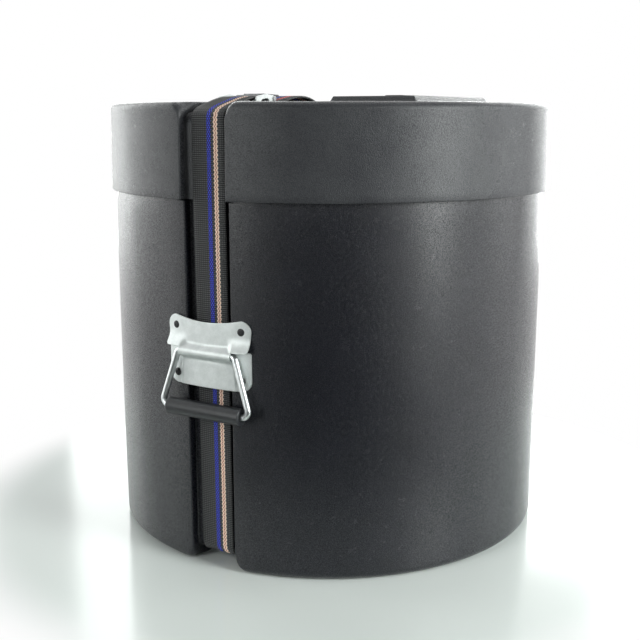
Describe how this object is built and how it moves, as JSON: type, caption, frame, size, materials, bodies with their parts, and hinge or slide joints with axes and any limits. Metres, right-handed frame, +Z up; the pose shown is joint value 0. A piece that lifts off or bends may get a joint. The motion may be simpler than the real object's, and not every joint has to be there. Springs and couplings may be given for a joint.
{
  "type": "round drum case",
  "caption": "Round moulded drum case with a lift-off lid, a webbing strap in a moulded channel closed by a cam buckle, and a riveted drop handle.",
  "frame": {"origin": "centre of the bounding box's bottom face, on the surface that the case stands on", "axes": "+Z up, -Y towards the handle, X across the strap; the strap lies in the plane X = 0"},
  "size_m": [0.483, 0.4914, 0.4692],
  "materials": {
    "moulded_shell": "black moulded polyethylene with a fine pebble grain",
    "webbing": "black ribbed webbing with woven stripes",
    "zinc_plate": "bright zinc plate on pressed steel",
    "zinc_wire": "bright zinc plate on steel wire",
    "bright_steel": "plain steel",
    "grip_plastic": "black satin plastic tube",
    "black_rivet": "black painted rivet head"
  },
  "bodies": {
    "case_body": {"body_shell": "moulded_shell", "strap_base_run": "webbing", "strap_front_run": "webbing", "strap_rear_run": "webbing", "handle_plate": "zinc_plate", "handle_rivet_1": "black_rivet", "handle_rivet_2": "black_rivet", "handle_rivet_3": "black_rivet", "handle_rivet_4": "black_rivet", "rivet_washer_1": "bright_steel", "rivet_washer_2": "bright_steel", "rivet_washer_3": "bright_steel", "rivet_washer_4": "bright_steel"},
    "lid": {"lid_shell": "moulded_shell", "strap_front_top": "webbing", "strap_rear_top": "webbing", "buckle_frame": "zinc_plate", "buckle_pin": "bright_steel", "cam_spring": "bright_steel"},
    "lever": {"buckle_lever": "zinc_plate"},
    "bail": {"handle_bail": "zinc_wire"},
    "grip": {"handle_grip": "grip_plastic"}
  },
  "joints": [
    {"name": "lid_lift", "type": "slide", "parent": "case_body", "child": "lid", "axis": [0, 0, 1], "range_m": [0, 0.12], "deforming": ["strap_front_run", "strap_rear_run"]},
    {"name": "bail_swing", "type": "hinge", "parent": "case_body", "child": "bail", "pos_m": [0, -0.23352, 0.223], "axis": [-1, 0, 0], "range_deg": [0, 92]},
    {"name": "grip_spin", "type": "hinge", "parent": "bail", "child": "grip", "pos_m": [0, -0.23718, 0.16612], "axis": [1, 0, 0], "continuous": true},
    {"name": "lever_lift", "type": "hinge", "parent": "lid", "child": "lever", "pos_m": [0, -0.14432, 0.464], "axis": [1, 0, 0], "range_deg": [0, 75], "stiffness_Nm_per_rad": 0.05, "springref_deg": -20.05}
  ]
}
